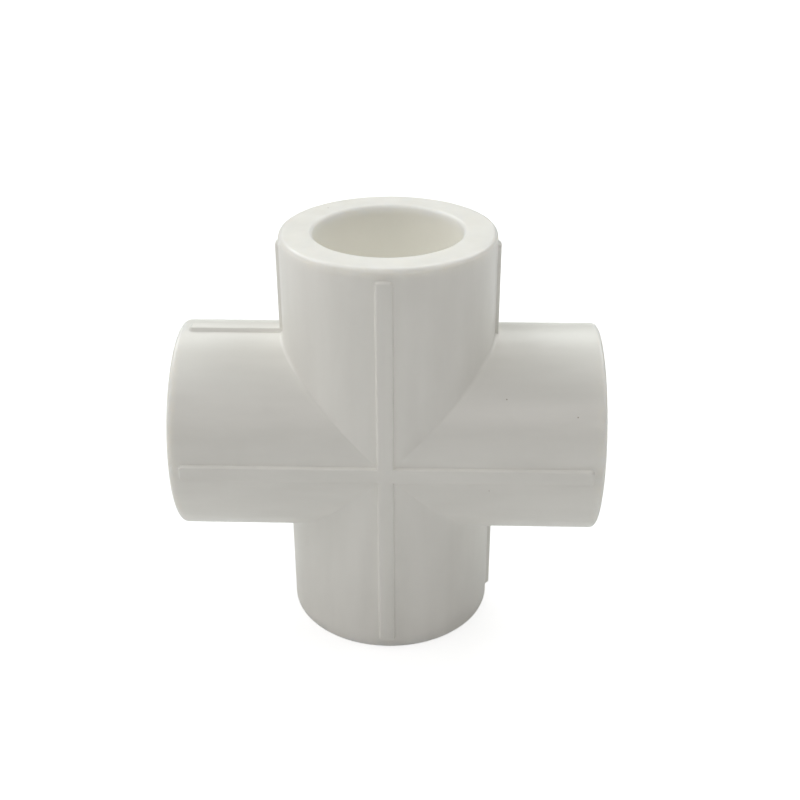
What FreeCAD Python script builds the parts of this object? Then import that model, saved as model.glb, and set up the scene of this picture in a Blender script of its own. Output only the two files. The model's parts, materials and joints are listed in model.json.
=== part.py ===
import FreeCAD, Part
import math
import os

# Equal cross for 25 mm polypropylene pressure pipe, with four sockets for heat fusion.
#
# The real fitting is one injection moulding. Its regions are made here as separate
# solids that meet face to face: the centre body, the four sockets and the ribs.
#
# Frame, in millimetres: the axes of the arms cross at the origin, +Z runs up the top
# arm, +X runs along the right arm, and the front of the fitting faces -Y.

# Arms
HALF_LENGTH = 35.0          # from the centre to each end face
OUTER_RADIUS = 17.5         # outside of every arm
RIM_ROUNDING = 0.8          # outer edge of each end face
CREASE_BLEND = 0.7          # fillet in the creases where two arms meet

# Sockets
SOCKET_RADIUS = 12.1        # wall that the pipe is fused to
SOCKET_DEPTH = 16.5         # from the end face to the shoulder that stops the pipe
MOUTH_ROUNDING = 0.6        # lead-in at the mouth of each socket

# Waterway
WATERWAY_RADIUS = 9.0       # clear passage inside the stop shoulders

# Ribs
RIB_WIDTH = 2.8             # measured at the arm's surface
RIB_HEIGHT = 0.6            # above the arm's surface
RIB_END_GAP = 1.8           # from the end face to the end of each rib
RIB_EDGE_ROUNDING = 0.3     # edges of the crest and of the free end
RIB_ROOT_DEPTH = 1.0        # how far a rib's blank reaches below the surface before trimming

# Worked out from the sizes above
SHOULDER = HALF_LENGTH - SOCKET_DEPTH
RIB_END = HALF_LENGTH - RIB_END_GAP
RIB_CREST = OUTER_RADIUS + RIB_HEIGHT

CENTRE = FreeCAD.Vector(0, 0, 0)
AXIS_X = FreeCAD.Vector(1, 0, 0)
AXIS_Y = FreeCAD.Vector(0, 1, 0)
AXIS_Z = FreeCAD.Vector(0, 0, 1)

# Each arm is made along +Z and turned about +Y, by this many degrees, into its place.
ARM_TURNS = {"top": 0, "right": 90, "bottom": 180, "left": 270}

# Each rib is made facing the arm's own +X and turned about the arm, by this many degrees.
FACING_FRONT = -90
FACING_BACK = 90

# Side ribs: the arm, the side of the fitting that the rib faces, its turn about the arm,
# and whether it meets a rib of the next arm in the corner between them.
SIDE_RIBS = [
    ("top", "left", 180, True),
    ("top", "right", 0, False),
    ("left", "top", 0, True),
    ("left", "bottom", 180, False),
    ("right", "bottom", 0, True),
    ("bottom", "right", 180, True),
]


def through_cylinder(radius, axis):
    """A cylinder along an axis through the centre, as long as the fitting."""
    return Part.makeCylinder(radius, 2 * HALF_LENGTH, axis * -HALF_LENGTH, axis)


def crossed_cylinders(radius):
    """The vertical and the horizontal cylinder as one solid."""
    cross = through_cylinder(radius, AXIS_Z).fuse(through_cylinder(radius, AXIS_X))
    return cross.removeSplitter()


def outer_cross():
    """The outside of all four arms, with the creases between them filleted."""
    cross = crossed_cylinders(OUTER_RADIUS)
    creases = [edge for edge in cross.Edges if isinstance(edge.Curve, Part.Ellipse)]
    return cross.makeFillet(CREASE_BLEND, creases)


def centre_body(outside):
    """The block between the four stop shoulders, with both waterways through it."""
    low_corner = FreeCAD.Vector(-SHOULDER, -OUTER_RADIUS, -SHOULDER)
    block = Part.makeBox(2 * SHOULDER, 2 * OUTER_RADIUS, 2 * SHOULDER, low_corner)
    return outside.common(block).cut(crossed_cylinders(WATERWAY_RADIUS))


def quarter_round(start, centre, end):
    """The short arc from start to end about a centre, with all points in the XZ plane."""
    radius = start.distanceToPoint(centre)
    outward = (start - centre) + (end - centre)
    middle = centre + outward.normalize() * radius
    return Part.Arc(start, middle, end).toShape()


def socket():
    """One socket, from the stop shoulder to the end face, made along +Z."""

    def at(radius, height):
        return FreeCAD.Vector(radius, 0, height)

    rim_start = at(OUTER_RADIUS, HALF_LENGTH - RIM_ROUNDING)
    rim_centre = at(OUTER_RADIUS - RIM_ROUNDING, HALF_LENGTH - RIM_ROUNDING)
    rim_end = at(OUTER_RADIUS - RIM_ROUNDING, HALF_LENGTH)
    mouth_start = at(SOCKET_RADIUS + MOUTH_ROUNDING, HALF_LENGTH)
    mouth_centre = at(SOCKET_RADIUS + MOUTH_ROUNDING, HALF_LENGTH - MOUTH_ROUNDING)
    mouth_end = at(SOCKET_RADIUS, HALF_LENGTH - MOUTH_ROUNDING)
    inner_root = at(SOCKET_RADIUS, SHOULDER)
    outer_root = at(OUTER_RADIUS, SHOULDER)
    outline = Part.Wire([
        Part.makeLine(outer_root, rim_start),
        quarter_round(rim_start, rim_centre, rim_end),
        Part.makeLine(rim_end, mouth_start),
        quarter_round(mouth_start, mouth_centre, mouth_end),
        Part.makeLine(mouth_end, inner_root),
        Part.makeLine(inner_root, outer_root),
    ])
    return Part.Face(outline).revolve(CENTRE, AXIS_Z, 360)


def sector_of_arm():
    """A prism that holds the top arm's share of the fitting: the points with |x| up to z."""
    reach = 2 * HALF_LENGTH
    corners = [
        FreeCAD.Vector(0, -reach, 0),
        FreeCAD.Vector(reach, -reach, reach),
        FreeCAD.Vector(-reach, -reach, reach),
    ]
    triangle = Part.Face(Part.makePolygon(corners, True))
    return triangle.extrude(AXIS_Y * (2 * reach))


def rib_blank(turn):
    """A straight bar along the top arm, with its crest and free end rounded."""
    low_corner = FreeCAD.Vector(OUTER_RADIUS - RIB_ROOT_DEPTH, -RIB_WIDTH / 2, 0)
    bar = Part.makeBox(RIB_ROOT_DEPTH + RIB_HEIGHT, RIB_WIDTH, RIB_END, low_corner)
    rounded = [edge for edge in bar.Edges if is_exposed(edge)]
    bar = bar.makeFillet(RIB_EDGE_ROUNDING, rounded)
    bar.rotate(CENTRE, AXIS_Z, turn)
    return bar


def is_exposed(edge):
    """True for a bar's edges along its crest and at its free end."""
    middle = edge.CenterOfMass
    on_crest = math.isclose(middle.x, RIB_CREST)
    at_free_end = math.isclose(middle.z, RIB_END)
    at_root = math.isclose(middle.x, OUTER_RADIUS - RIB_ROOT_DEPTH)
    at_centre = math.isclose(middle.z, 0, abs_tol=1e-6)
    return (on_crest or at_free_end) and not (at_root or at_centre)


def rib(turn, trimmed_by, meets_next):
    """A rib of the top arm, mitred where it meets the next arm's ribs."""
    blank = rib_blank(turn)
    if meets_next:
        blank = blank.common(sector_of_arm())
    return blank.cut(trimmed_by)


def placed(shape, arm):
    """A copy of a shape made on the top arm, turned to the arm's place."""
    copy = shape.copy()
    copy.rotate(CENTRE, AXIS_Y, ARM_TURNS[arm])
    return copy


def write(shape, node):
    """Write a node's solid, and stop if it isn't exactly one sound solid."""
    if len(shape.Solids) != 1 or not shape.Solids[0].isValid():
        raise ValueError(node + " isn't one valid solid")
    shape.Solids[0].exportStep("parts/" + node + ".step")


def main():
    os.makedirs("parts", exist_ok=True)
    outside = outer_cross()
    write(centre_body(outside), "centre_body")

    # The creases fade out under the front and back ribs, so these lie on the bare cylinder.
    tube = socket()
    bare_arm = through_cylinder(OUTER_RADIUS, AXIS_Z)
    front_rib = rib(FACING_FRONT, bare_arm, True)
    back_rib = rib(FACING_BACK, bare_arm, True)
    for arm in ARM_TURNS:
        write(placed(tube, arm), arm + "_socket")
        write(placed(front_rib, arm), arm + "_arm_front_rib")
        write(placed(back_rib, arm), arm + "_arm_back_rib")

    for arm, side, turn, meets_next in SIDE_RIBS:
        side_rib = rib(turn, outside, meets_next)
        write(placed(side_rib, arm), arm + "_arm_" + side + "_rib")


main()
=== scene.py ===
import json
import math

import bmesh
import bpy
from mathutils import Matrix, Vector


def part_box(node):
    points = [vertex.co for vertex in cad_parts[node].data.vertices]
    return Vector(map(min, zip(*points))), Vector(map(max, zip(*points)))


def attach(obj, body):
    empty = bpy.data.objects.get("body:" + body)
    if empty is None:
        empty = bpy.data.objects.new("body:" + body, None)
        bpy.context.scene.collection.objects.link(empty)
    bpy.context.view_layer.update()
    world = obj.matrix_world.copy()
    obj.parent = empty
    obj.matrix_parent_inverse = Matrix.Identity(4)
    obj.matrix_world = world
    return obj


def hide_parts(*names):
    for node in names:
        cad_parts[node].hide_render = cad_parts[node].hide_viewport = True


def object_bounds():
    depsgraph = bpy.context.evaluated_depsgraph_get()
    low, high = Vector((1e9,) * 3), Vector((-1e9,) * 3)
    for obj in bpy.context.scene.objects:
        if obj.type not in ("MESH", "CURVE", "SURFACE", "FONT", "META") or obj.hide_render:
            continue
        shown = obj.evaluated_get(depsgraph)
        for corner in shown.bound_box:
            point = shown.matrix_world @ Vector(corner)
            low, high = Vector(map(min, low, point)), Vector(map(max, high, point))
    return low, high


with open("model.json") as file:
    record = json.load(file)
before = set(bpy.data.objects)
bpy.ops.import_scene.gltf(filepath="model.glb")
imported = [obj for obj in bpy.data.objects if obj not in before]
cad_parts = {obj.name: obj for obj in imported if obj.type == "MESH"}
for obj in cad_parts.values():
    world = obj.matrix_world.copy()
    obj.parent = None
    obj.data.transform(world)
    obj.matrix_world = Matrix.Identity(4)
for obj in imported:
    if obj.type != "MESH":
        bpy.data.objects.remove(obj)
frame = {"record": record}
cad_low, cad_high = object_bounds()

# The white plastic cross fitting, standing on its bottom arm. Units are metres.
# Every piece stands for the CAD node of the same name, in the same place.


def mount_dims(name):
    """The dimensions that the record states for a mount."""
    return next(m["dims"] for m in frame["record"]["mounts"] if m["name"] == name)


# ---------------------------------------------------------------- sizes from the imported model

socket_low, socket_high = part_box("top_socket")
rib_low, rib_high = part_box("top_arm_front_rib")
bore = mount_dims("top_socket_bore")

HALF_LENGTH = socket_high.z
SHOULDER = socket_low.z
OUTER_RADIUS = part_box("centre_body")[1].y
SOCKET_RADIUS = bore["r_mm"] / 1000
MOUTH_ROUNDING = HALF_LENGTH - SHOULDER - bore["length_mm"] / 1000
RIB_HALF_WIDTH = (rib_high.x - rib_low.x) / 2
RIB_HEIGHT = -rib_low.y - OUTER_RADIUS
RIB_END = rib_high.z
FLOOR_HEIGHT = cad_low.z

# ---------------------------------------------------------------- sizes of the finer shapes

MM = 0.001
RIM_ROUNDING = 0.8 * MM         # outer edge of each end face
CREASE_BLEND = 0.7 * MM         # radius of the ball that rolls along the creases
WATERWAY_RADIUS = 9.0 * MM
RIB_ROOT_FILLET = 0.12 * MM     # hollow fillet where a front or back rib's flank meets the arm
SIDE_ROOT_FILLET = 0.3 * MM     # the same for the side ribs, whose roots are softer
RIB_EDGE_ROUNDING = 0.25 * MM   # along the crest
RIB_LEAN = math.radians(18)     # how far a front or back rib's flank leans in from upright
SIDE_LEAN = math.radians(36)    # the same for the side ribs, whose flanks slope more
RIB_CROWN = 0.08 * MM           # how much lower the crest would be at the rib's full half width
RIB_CORNER = 0.6 * MM           # corners of the free end, seen from above
RIB_SINK = 0.3 * MM             # how far the ribs reach into the arms
ROOT_SINK = 0.02 * MM           # how far the root fillet's edge dips under the arm's surface

AROUND = 256                    # columns round each arm
ALONG_CENTRE = 16               # rows from the shoulder to the crease
ALONG_SOCKET = 16               # rows along a socket's outside and its bore
BLEND_ROWS = 6                  # rows across half of a crease
ARC_STEPS = 10                  # steps round each rounded edge
CORNER_STEPS = 4                # steps round each corner of a rib's free end
CREST_STEPS = 6                 # steps across a rib's crest, between those corners
HOLD = 0.06 * MM                # from a rounded edge to the row that keeps the next face flat
RIB_STATIONS = 40               # stations along each rib
WELD = 1e-7                     # points nearer than this are the same point
SHARP_ANGLE = math.radians(35)  # edges sharper than this aren't smoothed over

# Each arm is made along +Z and turned about +Y into its place.
ARM_TURNS = {"top": 0, "right": 90, "bottom": 180, "left": 270}

# Ribs: the arm, the side that the rib faces, its turn about the arm, and how its inner
# end stops: mitred against the next arm's rib, or buried in the next arm.
RIBS = [(arm, "front", -90, "mitred") for arm in ARM_TURNS]
RIBS += [(arm, "back", 90, "mitred") for arm in ARM_TURNS]
RIBS += [
    ("top", "left", 180, "mitred"),
    ("top", "right", 0, "buried"),
    ("left", "top", 0, "mitred"),
    ("left", "bottom", 180, "buried"),
    ("right", "bottom", 0, "mitred"),
    ("bottom", "right", 180, "mitred"),
]


# ---------------------------------------------------------------- mesh helpers

def mix(a, b, share):
    """The value that lies this share of the way from a to b."""
    return a + (b - a) * share


def arm_matrix(arm):
    """The turn that takes the top arm to an arm's place."""
    return Matrix.Rotation(math.radians(ARM_TURNS[arm]), 3, "Y")


def bridge(bm, rows, closed):
    """Quads between each row of points and the next."""
    rows = [[bm.verts.new(point) for point in row] for row in rows]
    for near, far in zip(rows, rows[1:]):
        for i in range(len(near) if closed else len(near) - 1):
            j = (i + 1) % len(near)
            bm.faces.new((near[i], near[j], far[j], far[i]))


def arc(centre_x, centre_y, radius, start, end, steps=ARC_STEPS):
    """Points of an arc in the plane, from one angle to another in degrees."""
    angles = [math.radians(mix(start, end, k / steps)) for k in range(steps + 1)]
    return [(centre_x + radius * math.cos(a), centre_y + radius * math.sin(a)) for a in angles]


def finish_piece(bm, name, material):
    """Weld the points, turn the faces outwards and add the piece to the scene."""
    bmesh.ops.remove_doubles(bm, verts=bm.verts, dist=WELD)
    bmesh.ops.recalc_face_normals(bm, faces=bm.faces)
    mesh = bpy.data.meshes.new(name)
    bm.to_mesh(mesh)
    bm.free()
    mesh.shade_smooth()
    mesh.set_sharp_from_angle(angle=SHARP_ANGLE)
    mesh.materials.append(material)
    piece = bpy.data.objects.new(name + "_moulded", mesh)
    bpy.context.scene.collection.objects.link(piece)
    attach(piece, "root")
    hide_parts(name)
    return piece


# ---------------------------------------------------------------- the centre body

ring_angles = [2 * math.pi * i / AROUND for i in range(AROUND)]


def ring(radius, height_at):
    """A ring of points round the top arm, at a height that depends on the angle."""
    return [Vector((radius * math.cos(a), radius * math.sin(a), height_at(a))) for a in ring_angles]


def crease_row(share):
    """Points on the ball-rolled crease, from share 0 on this arm to 1 on the next."""
    row = []
    reach = OUTER_RADIUS + CREASE_BLEND
    for angle in ring_angles:
        side = math.copysign(1, math.cos(angle))
        across = abs(math.cos(angle))
        depth = math.sin(angle)
        ball = Vector((side * reach * across, reach * depth, reach * across))
        to_this_arm = Vector((-side * across, -depth, 0))
        to_next_arm = Vector((0, -depth, -across))
        row.append(ball + to_this_arm.slerp(to_next_arm, share) * CREASE_BLEND)
    return row


def rings_from_shoulder(radius, reach):
    """Rings from the stop shoulder to where an arm's wall meets the next arm's.

    The reach is how far up that meeting line comes at its highest, on the arm's sides."""
    rings = []
    for k in range(ALONG_CENTRE + 1):
        rings.append(ring(radius, lambda a: mix(SHOULDER, reach * abs(math.cos(a)), k / ALONG_CENTRE)))
    return rings


def add_arm_share(bm, turn):
    """One arm's share of the centre body: its outside, its stop shoulder and its waterway."""
    outside = rings_from_shoulder(OUTER_RADIUS, OUTER_RADIUS + CREASE_BLEND)
    outside += [crease_row(0.5 * k / BLEND_ROWS) for k in range(1, BLEND_ROWS + 1)]
    shoulder = ring(SOCKET_RADIUS, lambda a: SHOULDER)
    waterway = rings_from_shoulder(WATERWAY_RADIUS, WATERWAY_RADIUS)
    rows = outside[::-1] + [shoulder] + waterway
    bridge(bm, [[turn @ point for point in row] for row in rows], closed=True)


def make_centre_body(material):
    bm = bmesh.new()
    for arm in ARM_TURNS:
        add_arm_share(bm, arm_matrix(arm))
    return finish_piece(bm, "centre_body", material)


# ---------------------------------------------------------------- the sockets

def socket_outline():
    """The socket's section as (radius, height), from the outside round to the bore.

    Rows close to each rounded edge keep the flat faces beside it flat in the shading."""
    rim = HALF_LENGTH - RIM_ROUNDING
    lip = HALF_LENGTH - MOUTH_ROUNDING
    rim_inner = OUTER_RADIUS - RIM_ROUNDING
    lip_outer = SOCKET_RADIUS + MOUTH_ROUNDING
    shares = [k / ALONG_SOCKET for k in range(ALONG_SOCKET + 1)]
    outline = [(OUTER_RADIUS, mix(SHOULDER, rim - HOLD, share)) for share in shares]
    outline += arc(rim_inner, rim, RIM_ROUNDING, 0, 90)
    outline += [(rim_inner - HOLD, HALF_LENGTH), (lip_outer + HOLD, HALF_LENGTH)]
    outline += arc(lip_outer, lip, MOUTH_ROUNDING, 90, 180)
    outline += [(SOCKET_RADIUS, mix(lip - HOLD, SHOULDER, share)) for share in shares]
    outline.append(outline[0])
    return outline


def make_socket(arm, material):
    bm = bmesh.new()
    turn = arm_matrix(arm)
    rows = [ring(radius, lambda a: height) for radius, height in socket_outline()]
    bridge(bm, [[turn @ point for point in row] for row in rows], closed=True)
    return finish_piece(bm, arm + "_socket", material)


# ---------------------------------------------------------------- the ribs

def rib_section(lean, fillet):
    """A rib's flank as (outward offset from the nominal outline, height), root to crest.

    The flank leans in from the outline at the arm's surface. A hollow fillet joins it to
    the arm and a rounded edge joins it to the crest."""
    edge = RIB_EDGE_ROUNDING
    fillet_centre = fillet * (1 - math.sin(lean)) / math.cos(lean)
    edge_height = RIB_HEIGHT - edge
    edge_centre = -(edge + edge_height * math.sin(lean)) / math.cos(lean)
    lean_angle = math.degrees(lean)
    flank = [(fillet_centre + ROOT_SINK, -ROOT_SINK)]
    flank += arc(fillet_centre, fillet, fillet, 270, 180 + lean_angle)
    flank += arc(edge_centre, edge_height, edge, lean_angle, 90)
    return flank


def rib_plan(offset):
    """Round a rib's free end, seen from above: (sideways, along) from the left flank to the right."""
    end_corner = RIB_END - RIB_CORNER
    half = RIB_HALF_WIDTH - RIB_CORNER
    radius = RIB_CORNER + offset
    left = arc(-half, end_corner, radius, 180, 90, CORNER_STEPS)
    right = arc(half, end_corner, radius, 90, 0, CORNER_STEPS)
    flat = [(mix(-half, half, k / CREST_STEPS), end_corner + radius) for k in range(1, CREST_STEPS)]
    return left + flat + right


class RibPlacer:
    """Turns a rib's own coordinates (sideways, along, height) into points on its arm."""

    def __init__(self, turn, ending):
        angle = math.radians(turn)
        self.outward = Vector((math.cos(angle), math.sin(angle), 0))
        self.sideways = Vector((-math.sin(angle), math.cos(angle), 0))
        self.ending = ending

    def foot(self, across, height):
        """The point's place in the arm's cross-section.

        Heights are over the arm's surface at the root, and over the crown at the crest."""
        surface = math.sqrt(OUTER_RADIUS ** 2 - across ** 2)
        crest = OUTER_RADIUS - RIB_CROWN * (across / RIB_HALF_WIDTH) ** 2
        level = mix(surface, crest, min(max(height / RIB_HEIGHT, 0), 1)) + height
        return self.outward * level + self.sideways * across

    def start(self, foot):
        """How far up the arm the rib starts, above a point of the cross-section."""
        if self.ending == "mitred":
            return abs(foot.x)
        return OUTER_RADIUS - RIB_SINK

    def point(self, across, height, share):
        """A point on the straight stretch, by its share of the way to the free end's corners."""
        foot = self.foot(across, height)
        return foot + Vector((0, 0, mix(self.start(foot), RIB_END - RIB_CORNER, share)))

    def end_point(self, across, along, height):
        return self.foot(across, height) + Vector((0, 0, along))


def rib_ring(placer, offset, height):
    """One closed course round a rib at a height: up the left flank, round the end and back."""
    plan = rib_plan(offset)
    shares = [k / RIB_STATIONS for k in range(RIB_STATIONS)]
    ring_points = [placer.point(plan[0][0], height, share) for share in shares]
    ring_points += [placer.end_point(across, along, height) for across, along in plan]
    ring_points += [placer.point(plan[-1][0], height, share) for share in reversed(shares)]
    return ring_points


def rib_cover(placer, offset, height):
    """Rows that cover a rib from its inner end to its free end at one height."""
    plan = rib_plan(offset)
    rows = []
    for k in range(RIB_STATIONS + 1):
        rows.append([placer.point(across, height, k / RIB_STATIONS) for across, along in plan])
    rows.append([placer.end_point(across, along, height) for across, along in plan])
    return rows


def make_rib(arm, side, turn, ending, material):
    bm = bmesh.new()
    to_arm = arm_matrix(arm)
    placer = RibPlacer(turn, ending)
    if side in ("front", "back"):
        section = rib_section(RIB_LEAN, RIB_ROOT_FILLET)
    else:
        section = rib_section(SIDE_LEAN, SIDE_ROOT_FILLET)
    section.insert(0, (section[0][0], -RIB_SINK))
    courses = [rib_ring(placer, offset, height) for offset, height in section]
    crest = rib_cover(placer, *section[-1])
    underside = rib_cover(placer, *section[0])
    for rows in (courses, crest, underside):
        bridge(bm, [[to_arm @ point for point in row] for row in rows], closed=False)
    middle = len(crest[0]) // 2
    left_end = crest[0][:middle + 1] + underside[0][middle::-1] + [c[0] for c in courses[1:-1]]
    right_end = crest[0][:middle - 1:-1] + underside[0][middle:] + [c[-1] for c in courses[1:-1]]
    for outline in (left_end, right_end):
        bm.faces.new([bm.verts.new(to_arm @ point) for point in outline])
    return finish_piece(bm, f"{arm}_arm_{side}_rib", material)


# ---------------------------------------------------------------- materials

# Light gets into the wall at the open ends and comes out again near them.
SCATTER_RADIUS = 2.0 * MM       # how far it spreads in the plastic
SCATTER_BY_COLOUR = (1.0, 0.96, 0.9)
GLOW_START = 0.9 * MM           # from the end face: it scatters fully up to here
GLOW_END = 1.8 * MM             # and not at all from here on, where the ribs begin

PLASTIC_IOR = 1.49
DARK_TONE = (0.852, 0.840, 0.792, 1)
LIGHT_TONE = (0.904, 0.892, 0.844, 1)
BORE_PAINTED_LIGHT = (0.972, 0.959, 0.897, 1)    # painted light: lighter, for the light that comes through the walls into the bores
STREAK_SCALE = 220              # across the streaks, per metre
STREAK_STRETCH = 0.2            # of that scale, along them
GLOSS_SCALE = 90                # patches of uneven gloss, per metre
LOW_ROUGHNESS = 0.30
HIGH_ROUGHNESS = 0.40
NOISE_DETAIL = 4
GRAIN_SCALE = 900               # fine unevenness of the surface, per metre
GRAIN_DETAIL = 3
GRAIN_DEPTH = 0.02 * MM
GRAIN_STRENGTH = 0.15

# Specks fill all of space at this spacing, and show only where the surface cuts one.
SPECK_SPACING = 6 * MM
SPECK_RADIUS = 0.15 * MM
SPECK_TONE = (0.45, 0.40, 0.33, 1)

TABLE_GLOW = 0.72               # of the light table, and of the backdrop that it runs into
TABLE_GREY = (0.5, 0.5, 0.5, 1)
CARD_WHITE = (0.9, 0.9, 0.9, 1)


def new_material(name):
    """A node material and its shader."""
    material = bpy.data.materials.new(name)
    material.use_nodes = True
    return material, material.node_tree.nodes["Principled BSDF"]


def new_mixer(nodes, data_type):
    """A mix node's inputs and outputs. Only their identifiers tell those of each type apart."""
    mixer = nodes.new("ShaderNodeMix")
    mixer.data_type = data_type
    ways_in = {way.identifier: way for way in mixer.inputs}
    ways_out = {way.identifier: way for way in mixer.outputs}
    return ways_in, ways_out


def mixed_tone(nodes, links, share, first, second):
    """A mix of two colours, by a share of the second, which is constant."""
    ways_in, ways_out = new_mixer(nodes, "RGBA")
    links.new(share, ways_in["Factor_Float"])
    links.new(first, ways_in["A_Color"])
    ways_in["B_Color"].default_value = second
    return ways_out["Result_Color"]


def distance_from_axis(nodes, links, place, along_axis):
    """How far a point lies from the axis that has this direction."""
    flatten = nodes.new("ShaderNodeVectorMath")
    flatten.operation = "MULTIPLY"
    flatten.inputs[1].default_value = [1 - part for part in along_axis]
    links.new(place.outputs["Object"], flatten.inputs[0])
    length = nodes.new("ShaderNodeVectorMath")
    length.operation = "LENGTH"
    links.new(flatten.outputs["Vector"], length.inputs[0])
    return length.outputs["Value"]


def distances_along_arms(nodes, links, place):
    """How far a point lies from the centre along X, Y and Z."""
    size = nodes.new("ShaderNodeVectorMath")
    size.operation = "ABSOLUTE"
    links.new(place.outputs["Object"], size.inputs[0])
    parts = nodes.new("ShaderNodeSeparateXYZ")
    links.new(size.outputs["Vector"], parts.inputs["Vector"])
    return parts


def nearness_to_ends(nodes, links, place):
    """1 at the open ends of the arms, fading to 0 where the ribs begin."""
    parts = distances_along_arms(nodes, links, place)
    farthest = nodes.new("ShaderNodeMath")
    farthest.operation = "MAXIMUM"
    links.new(parts.outputs["X"], farthest.inputs[0])
    links.new(parts.outputs["Z"], farthest.inputs[1])
    fade = nodes.new("ShaderNodeMapRange")
    fade.interpolation_type = "SMOOTHSTEP"
    fade.inputs["From Min"].default_value = HALF_LENGTH - GLOW_END
    fade.inputs["From Max"].default_value = HALF_LENGTH - GLOW_START
    links.new(farthest.outputs["Value"], fade.inputs["Value"])
    return fade.outputs["Result"]


def insideness(nodes, links, place):
    """1 inside the bores of either pair of arms, fading to 0 across their mouths: where light is
    painted into the bores.
    """
    nearest = nodes.new("ShaderNodeMath")
    nearest.operation = "MINIMUM"
    links.new(distance_from_axis(nodes, links, place, (0, 0, 1)), nearest.inputs[0])
    links.new(distance_from_axis(nodes, links, place, (1, 0, 0)), nearest.inputs[1])
    fade = nodes.new("ShaderNodeMapRange")
    fade.inputs["From Min"].default_value = SOCKET_RADIUS
    fade.inputs["From Max"].default_value = SOCKET_RADIUS + MOUTH_ROUNDING
    fade.inputs["To Min"].default_value = 1
    fade.inputs["To Max"].default_value = 0
    links.new(nearest.outputs["Value"], fade.inputs["Value"])
    return fade.outputs["Result"]


def drawn_out_noise(nodes, links, place, stretch):
    """Noise whose patches are drawn out along one axis."""
    drawn = nodes.new("ShaderNodeVectorMath")
    drawn.operation = "MULTIPLY"
    drawn.inputs[1].default_value = stretch
    links.new(place.outputs["Object"], drawn.inputs[0])
    noise = nodes.new("ShaderNodeTexNoise")
    noise.inputs["Scale"].default_value = STREAK_SCALE
    noise.inputs["Detail"].default_value = NOISE_DETAIL
    links.new(drawn.outputs["Vector"], noise.inputs["Vector"])
    return noise.outputs["Fac"]


def streaks(nodes, links, place):
    """Noise that runs along each arm, as the plastic flowed in the mould."""
    parts = distances_along_arms(nodes, links, place)
    on_side_arms = nodes.new("ShaderNodeMath")
    on_side_arms.operation = "GREATER_THAN"
    links.new(parts.outputs["X"], on_side_arms.inputs[0])
    links.new(parts.outputs["Z"], on_side_arms.inputs[1])
    ways_in, ways_out = new_mixer(nodes, "FLOAT")
    links.new(on_side_arms.outputs["Value"], ways_in["Factor_Float"])
    links.new(drawn_out_noise(nodes, links, place, (1, 1, STREAK_STRETCH)), ways_in["A_Float"])
    links.new(drawn_out_noise(nodes, links, place, (STREAK_STRETCH, 1, 1)), ways_in["B_Float"])
    return ways_out["Result_Float"]


def specks(nodes, links, place):
    """1 in rare specks of dirt in the plastic, 0 elsewhere."""
    cells = nodes.new("ShaderNodeTexVoronoi")
    cells.inputs["Scale"].default_value = 1 / SPECK_SPACING
    links.new(place.outputs["Object"], cells.inputs["Vector"])
    fade = nodes.new("ShaderNodeMapRange")
    fade.inputs["From Min"].default_value = 0.5 * SPECK_RADIUS / SPECK_SPACING
    fade.inputs["From Max"].default_value = SPECK_RADIUS / SPECK_SPACING
    fade.inputs["To Min"].default_value = 1
    fade.inputs["To Max"].default_value = 0
    links.new(cells.outputs["Distance"], fade.inputs["Value"])
    return fade.outputs["Result"]


def white_polypropylene(name, scatters):
    """Natural white moulded plastic: half gloss, faintly uneven in tone and surface, with light
    painted into its bores.
    """
    material, shader = new_material(name)
    nodes, links = material.node_tree.nodes, material.node_tree.links
    shader.inputs["Specular IOR Level"].default_value = 0.5
    shader.inputs["IOR"].default_value = PLASTIC_IOR
    place = nodes.new("ShaderNodeTexCoord")

    outside = nodes.new("ShaderNodeValToRGB")
    outside.color_ramp.elements[0].position = 0.3
    outside.color_ramp.elements[0].color = DARK_TONE
    outside.color_ramp.elements[1].position = 0.7
    outside.color_ramp.elements[1].color = LIGHT_TONE
    links.new(streaks(nodes, links, place), outside.inputs["Fac"])
    inside = insideness(nodes, links, place)
    # The bores get a lighter colour: painted light for the light that comes through the walls.
    clean = mixed_tone(nodes, links, inside, outside.outputs["Color"], BORE_PAINTED_LIGHT)
    specked = mixed_tone(nodes, links, specks(nodes, links, place), clean, SPECK_TONE)
    links.new(specked, shader.inputs["Base Color"])

    if scatters:
        shader.inputs["Subsurface Radius"].default_value = SCATTER_BY_COLOUR
        shader.inputs["Subsurface Scale"].default_value = SCATTER_RADIUS
        links.new(nearness_to_ends(nodes, links, place), shader.inputs["Subsurface Weight"])

    gloss = nodes.new("ShaderNodeTexNoise")
    gloss.inputs["Scale"].default_value = GLOSS_SCALE
    gloss.inputs["Detail"].default_value = NOISE_DETAIL
    links.new(place.outputs["Object"], gloss.inputs["Vector"])
    roughness = nodes.new("ShaderNodeMapRange")
    roughness.inputs["To Min"].default_value = LOW_ROUGHNESS
    roughness.inputs["To Max"].default_value = HIGH_ROUGHNESS
    links.new(gloss.outputs["Fac"], roughness.inputs["Value"])
    links.new(roughness.outputs["Result"], shader.inputs["Roughness"])

    grain = nodes.new("ShaderNodeTexNoise")
    grain.inputs["Scale"].default_value = GRAIN_SCALE
    grain.inputs["Detail"].default_value = GRAIN_DETAIL
    links.new(place.outputs["Object"], grain.inputs["Vector"])
    bump = nodes.new("ShaderNodeBump")
    bump.inputs["Strength"].default_value = GRAIN_STRENGTH
    bump.inputs["Distance"].default_value = GRAIN_DEPTH
    links.new(grain.outputs["Fac"], bump.inputs["Height"])
    links.new(bump.outputs["Normal"], shader.inputs["Normal"])
    return material


def light_table():
    """A milky sheet lit from below, so that shadows on it stay faint."""
    material, shader = new_material("light_table")
    shader.inputs["Base Color"].default_value = TABLE_GREY
    shader.inputs["Roughness"].default_value = 1
    shader.inputs["Specular IOR Level"].default_value = 0
    shader.inputs["Emission Color"].default_value = (1, 1, 1, 1)
    shader.inputs["Emission Strength"].default_value = TABLE_GLOW
    return material


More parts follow.
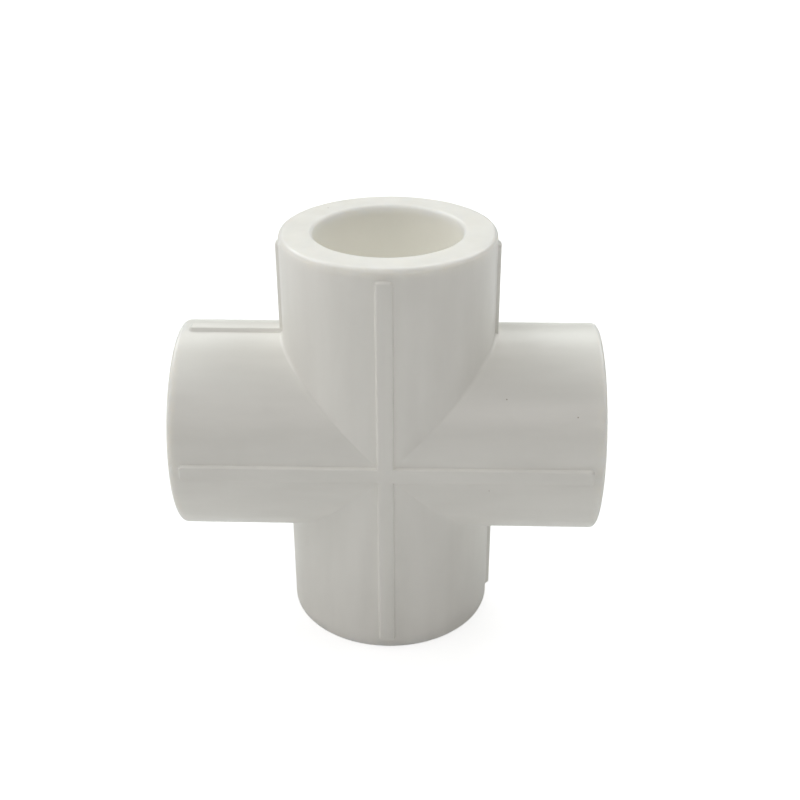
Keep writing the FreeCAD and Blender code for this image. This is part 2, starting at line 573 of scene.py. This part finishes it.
def matt_card():
    """Plain white card."""
    material, shader = new_material("matt_card")
    shader.inputs["Base Color"].default_value = CARD_WHITE
    shader.inputs["Roughness"].default_value = 0.9
    return material


# ---------------------------------------------------------------- floor, lights and camera

FLOOR_SIZE = 4.0
CARD_DEPTH = 0.0002             # how far the bounce card lies under the light table

# The softboxes stand round the fitting at one distance: for each, its bearing from the
# camera's side towards the right, its height angle, its power in watts and its colour.
SOFTBOX_DISTANCE = 1.2
SOFTBOX_SIZE = 0.5
WARM = (1.05, 1.0, 0.98)
COOL = (0.98, 1.01, 1.0)
SOFTBOXES = {
    "front": (0, 40, 2.2, WARM),
    "right": (90, 40, 1.4, WARM),
    "high_right": (90, 62, 1.0, COOL),
    "back_right": (135, 40, 3.8, COOL),
    "back": (180, 40, 2.2, COOL),
    "back_left": (225, 40, 4.1, COOL),
    "low_left": (270, 15, 1.2, WARM),
    "left": (270, 40, 1.4, WARM),
    "high_left": (270, 62, 1.65, COOL),
    "high_front_left": (315, 62, 1.85, COOL),
}

CAMERA_AZIMUTH = math.radians(2.36)
CAMERA_ELEVATION = math.radians(28.89)
CAMERA_DISTANCE = 0.2009
CAMERA_PAN = math.radians(0.52)
CAMERA_TILT = math.radians(1.10)
CAMERA_ROLL = math.radians(-0.46)
SENSOR_WIDTH = 36
LENS = 52.30


def make_sheet(name, height, material):
    """A level sheet, as large as the studio."""
    bm = bmesh.new()
    bmesh.ops.create_grid(bm, x_segments=1, y_segments=1, size=FLOOR_SIZE / 2)
    mesh = bpy.data.meshes.new(name)
    bm.to_mesh(mesh)
    bm.free()
    mesh.materials.append(material)
    sheet = bpy.data.objects.new(name, mesh)
    sheet.location.z = height
    bpy.context.scene.collection.objects.link(sheet)
    return sheet


def make_floor():
    """A light table that the camera sees, and a matt card under it that throws light back."""
    table = make_sheet("floor", FLOOR_HEIGHT, light_table())
    table.visible_diffuse = False
    table.visible_glossy = False
    table.visible_shadow = False
    card = make_sheet("bounce_card", FLOOR_HEIGHT - CARD_DEPTH, matt_card())
    card.visible_camera = False


def make_softbox(name, bearing, height_angle, power, colour):
    around, up = math.radians(bearing), math.radians(height_angle)
    place = Vector((math.sin(around) * math.cos(up), -math.cos(around) * math.cos(up), math.sin(up)))
    light = bpy.data.lights.new(name, "AREA")
    light.shape = "SQUARE"
    light.size = SOFTBOX_SIZE
    light.energy = power
    light.color = colour
    lamp = bpy.data.objects.new(name, light)
    lamp.location = place * SOFTBOX_DISTANCE
    lamp.rotation_euler = (-place).to_track_quat("-Z", "Y").to_euler()
    bpy.context.scene.collection.objects.link(lamp)


def make_backdrop():
    """A pale surround that the camera sees. The softboxes give all the light."""
    world = bpy.data.worlds.new("studio")
    bpy.context.scene.world = world
    world.use_nodes = True
    background = world.node_tree.nodes["Background"]
    background.inputs["Color"].default_value = (1, 1, 1, 1)
    background.inputs["Strength"].default_value = TABLE_GLOW
    world.cycles_visibility.diffuse = False
    world.cycles_visibility.glossy = False
    world.cycles_visibility.transmission = False
    world.cycles_visibility.shadow = False
    world.cycles_visibility.scatter = False


def make_camera():
    """A camera that orbits the fitting's centre, then is panned, tilted and rolled."""
    flat = math.cos(CAMERA_ELEVATION)
    back = Vector((math.sin(CAMERA_AZIMUTH) * flat, -math.cos(CAMERA_AZIMUTH) * flat,
                   math.sin(CAMERA_ELEVATION)))
    forward = -back
    right = forward.cross(Vector((0, 0, 1))).normalized()
    up = right.cross(forward)
    forward, right = (forward * math.cos(CAMERA_PAN) + right * math.sin(CAMERA_PAN),
                      right * math.cos(CAMERA_PAN) - forward * math.sin(CAMERA_PAN))
    forward, up = (forward * math.cos(CAMERA_TILT) + up * math.sin(CAMERA_TILT),
                   up * math.cos(CAMERA_TILT) - forward * math.sin(CAMERA_TILT))
    right, up = (right * math.cos(CAMERA_ROLL) + up * math.sin(CAMERA_ROLL),
                 up * math.cos(CAMERA_ROLL) - right * math.sin(CAMERA_ROLL))
    data = bpy.data.cameras.new("camera")
    data.sensor_width = SENSOR_WIDTH
    data.lens = LENS
    data.clip_start = 0.01
    data.clip_end = 20
    camera = bpy.data.objects.new("camera", data)
    turn = Matrix((right, up, -forward)).transposed().to_4x4()
    camera.matrix_world = Matrix.Translation(back * CAMERA_DISTANCE) @ turn
    bpy.context.scene.collection.objects.link(camera)
    bpy.context.scene.camera = camera


# ---------------------------------------------------------------- the scene

make_camera()
plastic = white_polypropylene("white_polypropylene", scatters=False)
translucent_plastic = white_polypropylene("white_polypropylene_thin_edges", scatters=True)
make_centre_body(plastic)
for arm in ARM_TURNS:
    make_socket(arm, translucent_plastic)
for arm, side, turn, ending in RIBS:
    make_rib(arm, side, turn, ending, plastic)

make_floor()
for name, setting in SOFTBOXES.items():
    make_softbox(name, *setting)
make_backdrop()
bpy.context.scene.view_settings.view_transform = "Standard"
